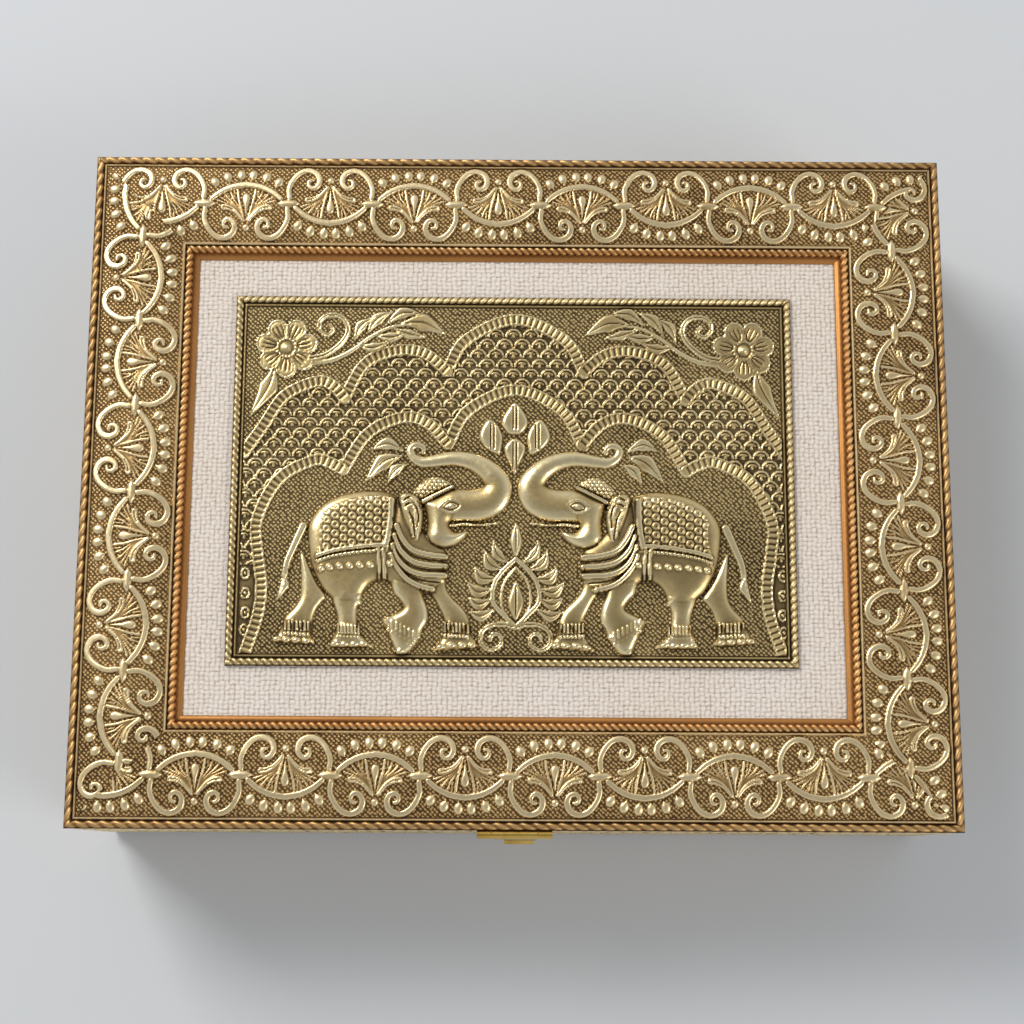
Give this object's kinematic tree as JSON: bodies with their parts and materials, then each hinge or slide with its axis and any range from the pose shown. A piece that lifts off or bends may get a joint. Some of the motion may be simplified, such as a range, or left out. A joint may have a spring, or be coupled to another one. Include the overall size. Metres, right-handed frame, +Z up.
{
  "type": "dry fruit box",
  "caption": "Hinged wooden gift box for dry fruit, clad in embossed antique metal, with a framed relief plaque on the lid and a small front hasp.",
  "frame": {"origin": "centre of the underside, on the surface the box stands on", "axes": "+X to the right as seen from the front, -Y to the front with the hasp, +Z up"},
  "size_m": [0.254, 0.2035, 0.066],
  "materials": {
    "wood": "stained softwood board",
    "antique_metal": "embossed sheet, antiqued and rubbed on the high points",
    "plaque_metal": "embossed sheet, dull greenish ground with polished relief",
    "bright_brass": "polished",
    "woven_fabric": "coarse basket weave",
    "velvet": "short pile",
    "felt": "pressed felt"
  },
  "bodies": {
    "base": {"base_cladding_back": "antique_metal", "base_cladding_front": "antique_metal", "base_cladding_left": "antique_metal", "base_cladding_right": "antique_metal", "base_floor": "wood", "base_wall_back": "wood", "base_wall_front": "wood", "base_wall_left": "wood", "base_wall_right": "wood", "catch_nails": "bright_brass", "catch_plate": "bright_brass", "divider_cross_left": "velvet", "divider_cross_right": "velvet", "divider_long": "velvet", "hinge_base_screws": "bright_brass", "hinge_left_base_leaf": "bright_brass", "hinge_left_pin": "bright_brass", "hinge_right_base_leaf": "bright_brass", "hinge_right_pin": "bright_brass", "lining_back": "velvet", "lining_floor": "velvet", "lining_front": "velvet", "lining_left": "velvet", "lining_right": "velvet", "underside_felt": "felt"},
    "lid": {"embossed_plaque": "plaque_metal", "fabric_panel": "woven_fabric", "frame_rail_back": "antique_metal", "frame_rail_front": "antique_metal", "frame_rail_left": "antique_metal", "frame_rail_right": "antique_metal", "hasp_leaf": "bright_brass", "hasp_nails": "bright_brass", "hasp_pin": "bright_brass", "hinge_left_lid_leaf": "bright_brass", "hinge_lid_screws": "bright_brass", "hinge_right_lid_leaf": "bright_brass", "lid_board": "wood", "lid_cladding_back": "antique_metal", "lid_cladding_front": "antique_metal", "lid_cladding_left": "antique_metal", "lid_cladding_right": "antique_metal", "lid_lining": "velvet", "lid_rim_back": "wood", "lid_rim_front": "wood", "lid_rim_left": "wood", "lid_rim_right": "wood"},
    "tongue": {"hasp_tongue": "bright_brass"}
  },
  "joints": [
    {"name": "lid_hinge", "type": "hinge", "parent": "base", "child": "lid", "pos_m": [0, 0.0975, 0.046], "axis": [-1, 0, 0], "range_deg": [0, 100]},
    {"name": "hasp_hinge", "type": "hinge", "parent": "lid", "child": "tongue", "pos_m": [0, -0.10115, 0.0636], "axis": [-1, 0, 0], "range_deg": [0, 150]}
  ]
}
